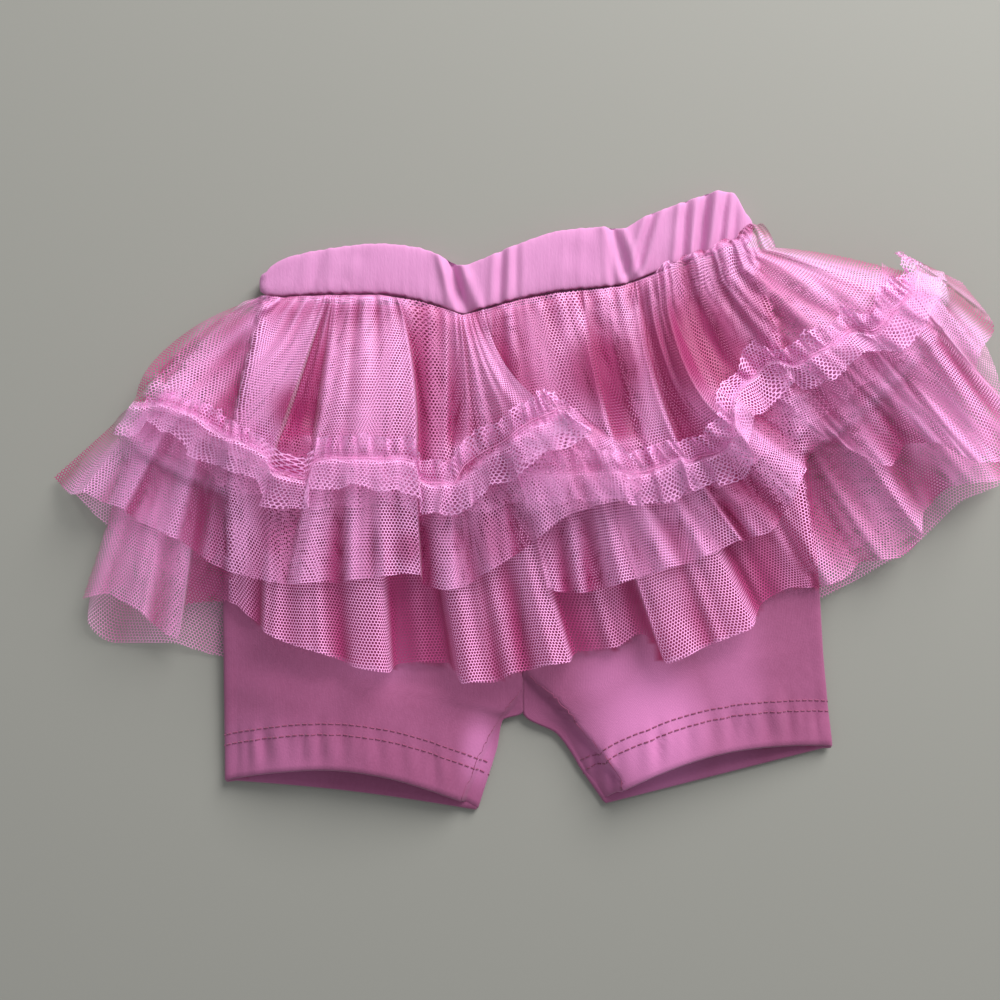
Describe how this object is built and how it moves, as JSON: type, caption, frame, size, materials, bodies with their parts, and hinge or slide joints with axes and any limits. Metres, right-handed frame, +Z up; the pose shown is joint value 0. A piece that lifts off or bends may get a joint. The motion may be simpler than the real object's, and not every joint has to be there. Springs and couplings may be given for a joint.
{
  "type": "tutu shorts",
  "caption": "Baby's jersey shorts with an elastic waistband and a gathered, ruffled tulle skirt over them, laid flat on their back.",
  "frame": {"origin": "middle of the underside of the whole garment as it lies, on the floor", "axes": "+X to the right of the picture, +Y from the leg hems towards the waistband, +Z up from the floor"},
  "size_m": [0.3784, 0.2442, 0.0374],
  "materials": {
    "jersey": "cotton jersey, matt, orchid pink",
    "waistband_jersey": "cotton jersey stretched over elastic, matt, light pink",
    "tulle": "soft tulle net with hexagonal holes, see-through, pink"
  },
  "bodies": {
    "root": {"leg_left": "jersey", "leg_right": "jersey", "waistband": "waistband_jersey", "outer_tier_front": "tulle", "outer_ruffle_front_left": "tulle", "outer_ruffle_front_right": "tulle", "under_tier_front": "tulle", "under_ruffle_front": "tulle", "outer_tier_back": "tulle", "outer_ruffle_back": "tulle", "under_tier_back": "tulle", "under_ruffle_back": "tulle"}
  },
  "joints": []
}
